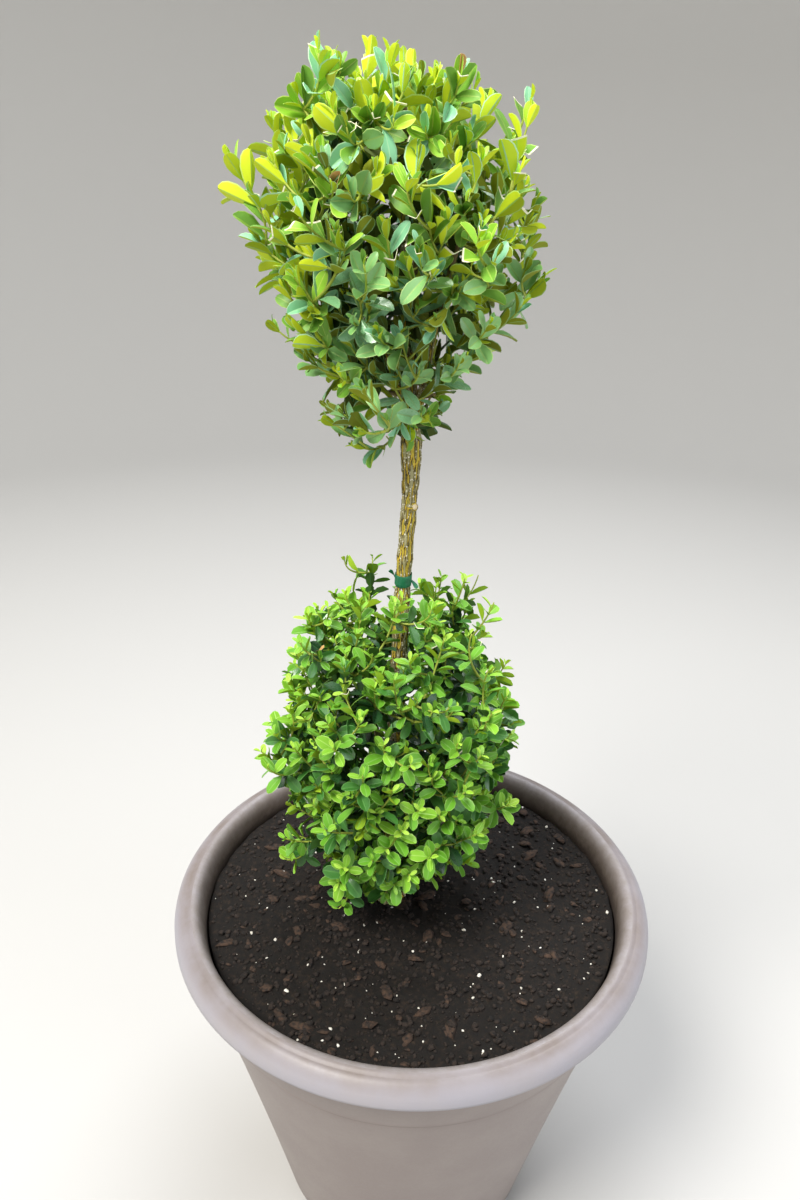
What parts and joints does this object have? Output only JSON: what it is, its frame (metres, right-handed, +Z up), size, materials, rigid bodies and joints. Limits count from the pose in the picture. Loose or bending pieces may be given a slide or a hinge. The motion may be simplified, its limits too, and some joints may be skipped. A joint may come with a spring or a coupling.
{
  "type": "standard lollipop topiary in a pot",
  "caption": "Evergreen boxwood topiary trained as clipped heads on a bare upright stem, growing in soil in a round flared planter with a rolled rim.",
  "frame": {"origin": "centre of the pot's flat underside", "axes": "+Z up along the pot's axis and the stem, -Y towards the side that the picture shows, +X to the right of that view"},
  "size_m": [0.4, 0.4, 0.9485],
  "materials": {
    "pot_resin": "satin moulded resin, taupe grey with a paler rim",
    "potting_soil": "rough, dark and crumbly with white perlite",
    "bark": "rough, ochre stripes between grey-brown corky ridges",
    "nursery_tie": "matt green plastic tape",
    "foliage": "leathery evergreen leaves, glossy above and paler below"
  },
  "bodies": {
    "root": {"pot": "pot_resin", "soil": "potting_soil", "stem": "bark", "stem_tie": "nursery_tie", "crown_side_1_bough": "bark", "crown_side_2_bough": "bark", "crown_side_3_bough": "bark", "crown_low_1": "foliage", "crown_low_2": "foliage", "crown_low_3": "foliage", "crown_side_1": "foliage", "crown_side_2": "foliage", "crown_side_3": "foliage", "crown_top": "foliage", "ball_low_1_bough": "bark", "ball_low_2_bough": "bark", "ball_low_3_bough": "bark", "ball_high_1_bough": "bark", "ball_high_2_bough": "bark", "ball_high_3_bough": "bark", "ball_low_1": "foliage", "ball_low_2": "foliage", "ball_low_3": "foliage", "ball_high_1": "foliage", "ball_high_2": "foliage", "ball_high_3": "foliage"}
  },
  "joints": []
}
